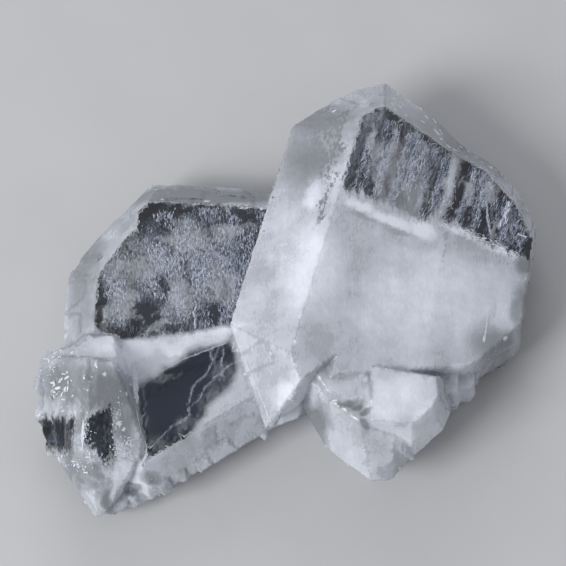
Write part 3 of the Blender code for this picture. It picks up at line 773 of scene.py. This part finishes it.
LOWER_CRACKS = [[(-7.5, -21.9, 3.8), (-5.9, -20.0, 3.8), (-4.3, -18.5, 3.7), (-2.2, -17.6, 3.6),
                 (-0.4, -15.3, 3.6), (1.1, -13.5, 3.7), (3.7, -11.6, 3.8), (5.7, -10.4, 4.0)],
                [(-1.5, -15.6, 3.7), (-0.7, -13.5, 3.8), (0.0, -12.5, 3.8), (1.3, -11.7, 3.9),
                 (2.7, -10.0, 4.0), (4.2, -7.7, 4.2)],
                [(4.4, -8.4, 4.2), (3.7, -10.5, 4.0), (3.6, -12.4, 4.0)],
                [(-7.2, -11.9, 4.2), (-7.3, -14.1, 4.1), (-7.5, -18.3, 4.0)],
                [(2.8, -8.0, 4.4), (2.7, -10.0, 4.0)]]
FAR_CRACK = [[(-4.4, -10.5, 4.4), (-1.8, -9.4, 4.5), (1.1, -8.6, 4.5), (4.8, -7.7, 4.5)]]
FLASHES = [[(1.3, -1.6, 4.5), (1.2, -3.2, 4.4), (1.0, -4.8, 4.2)], [(2.4, 2.7, 4.6), (3.4, 3.5, 4.6)]]
cracks = feather(LOWER_CRACKS, 0.11, 0.6, 0.05) + feather(FAR_CRACK, 0.02, 0.9, 0.10)
cracks += feather(FLASHES, 0.05, 0.9, 0.26)
joined_copies("left_plate_healed_cracks", TUBE, cracks, LEFT_FRAME)

WING_NEEDLES = [[(5.6, 11.4, 6.3), (5.8, 13.0, 6.3)], [(8.6, 13.0, 6.2), (8.9, 14.6, 6.2)],
                [(10.1, 10.8, 6.0), (11.9, 6.8, 6.0)], [(4.6, 15.0, 6.2), (4.7, 6.0, 6.2)]]
WING_SHEET = [[(13.3, 8.2, 5.7), (13.6, 12.0, 5.7)]]
WING_SEAM = [[(5.0, 5.3, 6.7), (9.0, 5.3, 6.7), (13.0, 5.1, 6.7), (16.8, 4.6, 6.6)]]
needles = feather(WING_NEEDLES, 0.06, 1.2, 0.08) + feather(WING_SEAM, 0.22, 0.6, 0.08)
needles += feather(WING_SHEET, 0.16, 1.4, 0.2)
joined_copies("right_plate_needles", TUBE, needles, RIGHT_FRAME)


# ---------------------------------------------------------------------------------------------
# Bright chips and scratches on the faces, and painted glints
# Where a face was knocked or grown over unevenly, small facets and grooves are bright. The grooves are
# white scratches. The chips are white flakes that stand in for the glints their facets catch, so they
# are painted
# glints: a sparkling patch on the right plate's left face, the left point's cap, tip and shoulder.
# ---------------------------------------------------------------------------------------------
FLAKE = sliver("flake", 5)
FLAKE_THICK = 0.05  # mm

# How many chips, around where, how far they spread, and how long the largest is, in millimetres
CHIPS_AND_PAINTED_GLINTS = [(160, (0.1, 3.0, 15.2), (2.0, 2.4, 1.2), 0.42),
           (60, (3.2, 11.8, 15.4), (0.9, 1.8, 0.6), 0.3),
           (150, (-32.6, -10.4, 11.0), (2.6, 3.2, 2.6), 0.55),
           (170, (-22.2, -23.6, 11.8), (1.4, 1.6, 0.8), 0.6),
           (90, (-27.0, -24.0, 12.6), (0.6, 3.2, 1.2), 0.45),
           (70, (-23.2, -19.6, 13.4), (0.7, 2.6, 1.0), 0.4),
           (60, (0.6, -17.0, 13.4), (1.4, 2.0, 2.0), 0.4),
           (60, (25.2, -11.2, 8.0), (2.4, 2.0, 2.0), 0.45),
           (50, (18.0, -22.0, 9.0), (2.4, 2.2, 2.0), 0.4),
           (70, (-20.6, -27.2, 6.0), (4.0, 2.4, 3.0), 0.4),
           (50, (0.2, -17.8, 11.8), (2.0, 2.0, 0.8), 0.35),
           (36, (-31.0, -15.4, 12.6), (2.8, 2.8, 1.0), 1.3),
           (26, (-28.4, -25.6, 9.6), (2.8, 2.4, 1.4), 0.9)]
# white flakes laid on the faces as chips and painted glints
flakes = []
for count, middle, reach, largest in CHIPS_AND_PAINTED_GLINTS:
    for _ in range(count):
        at = Vector([chance.gauss(m, r / 2) for m, r in zip(middle, reach)])
        nearest, outward, _, _ = SKIN.find_nearest(at * MM)
        lean = (outward + Vector([chance.gauss(0, 0.25) for _ in range(3)])).normalized()
        long = largest * chance.uniform(0.25, 1.0)
        spin = Matrix.Rotation(chance.gauss(0, 0.5), 4, "Z")
        lay = lean.to_track_quat("Z", "Y").to_matrix().to_4x4() @ spin
        flakes.append(Matrix.Translation(nearest / MM) @ lay
                      @ Matrix.Diagonal((long * 0.4, long, FLAKE_THICK, 1.0)))
joined_copies("face_chips_and_painted_glints", FLAKE, flakes, WHOLE_FRAME)

GROOVES = 12  # to each millimetre of a scratch

# How wide a scratch's grooves are, how long the longest is, and its route in the cluster's frame
SCRATCHES = [(0.12, 1.4, [(27.3, -4.4, 11.4), (26.7, -8.1, 11.3)]),
             (0.12, 1.4, [(28.4, -2.8, 11.2), (27.9, -4.7, 11.2)]),
             (0.10, 1.4, [(-6.0, -11.1, 12.1), (-2.6, -19.4, 11.4)]),
             (0.24, 1.2, [(-27.5, -20.3, 14.1), (-27.5, -23.8, 13.2)]),
             (0.28, 1.4, [(-21.1, -11.2, 10.5), (-21.0, -14.2, 10.5), (-20.9, -16.7, 10.5)]),
             (0.12, 1.0, [(-20.9, -16.7, 10.5), (-20.5, -19.0, 11.1), (-20.0, -21.1, 11.5),
                          (-19.4, -22.7, 10.7), (-19.3, -23.9, 10.5), (-19.9, -25.4, 9.8)]),
             (0.18, 0.5, [(32.0, 7.8, 10.9), (33.2, 7.4, 10.6)])]
grooves = []
for wide, longest, route in SCRATCHES:
    for _ in range(int(route_length(route) * GROOVES)):
        at, bearing = along_route(route, chance.random())
        at.x += chance.gauss(0, wide * 0.6)
        nearest, _, _, _ = SKIN.find_nearest(at * MM)
        long = longest * chance.uniform(0.35, 1.0)
        grooves.append(lying(nearest / MM, bearing + chance.gauss(0, 4), 0, (wide, long, wide * 0.6)))
joined_copies("face_scratches", TUBE, grooves, WHOLE_FRAME)
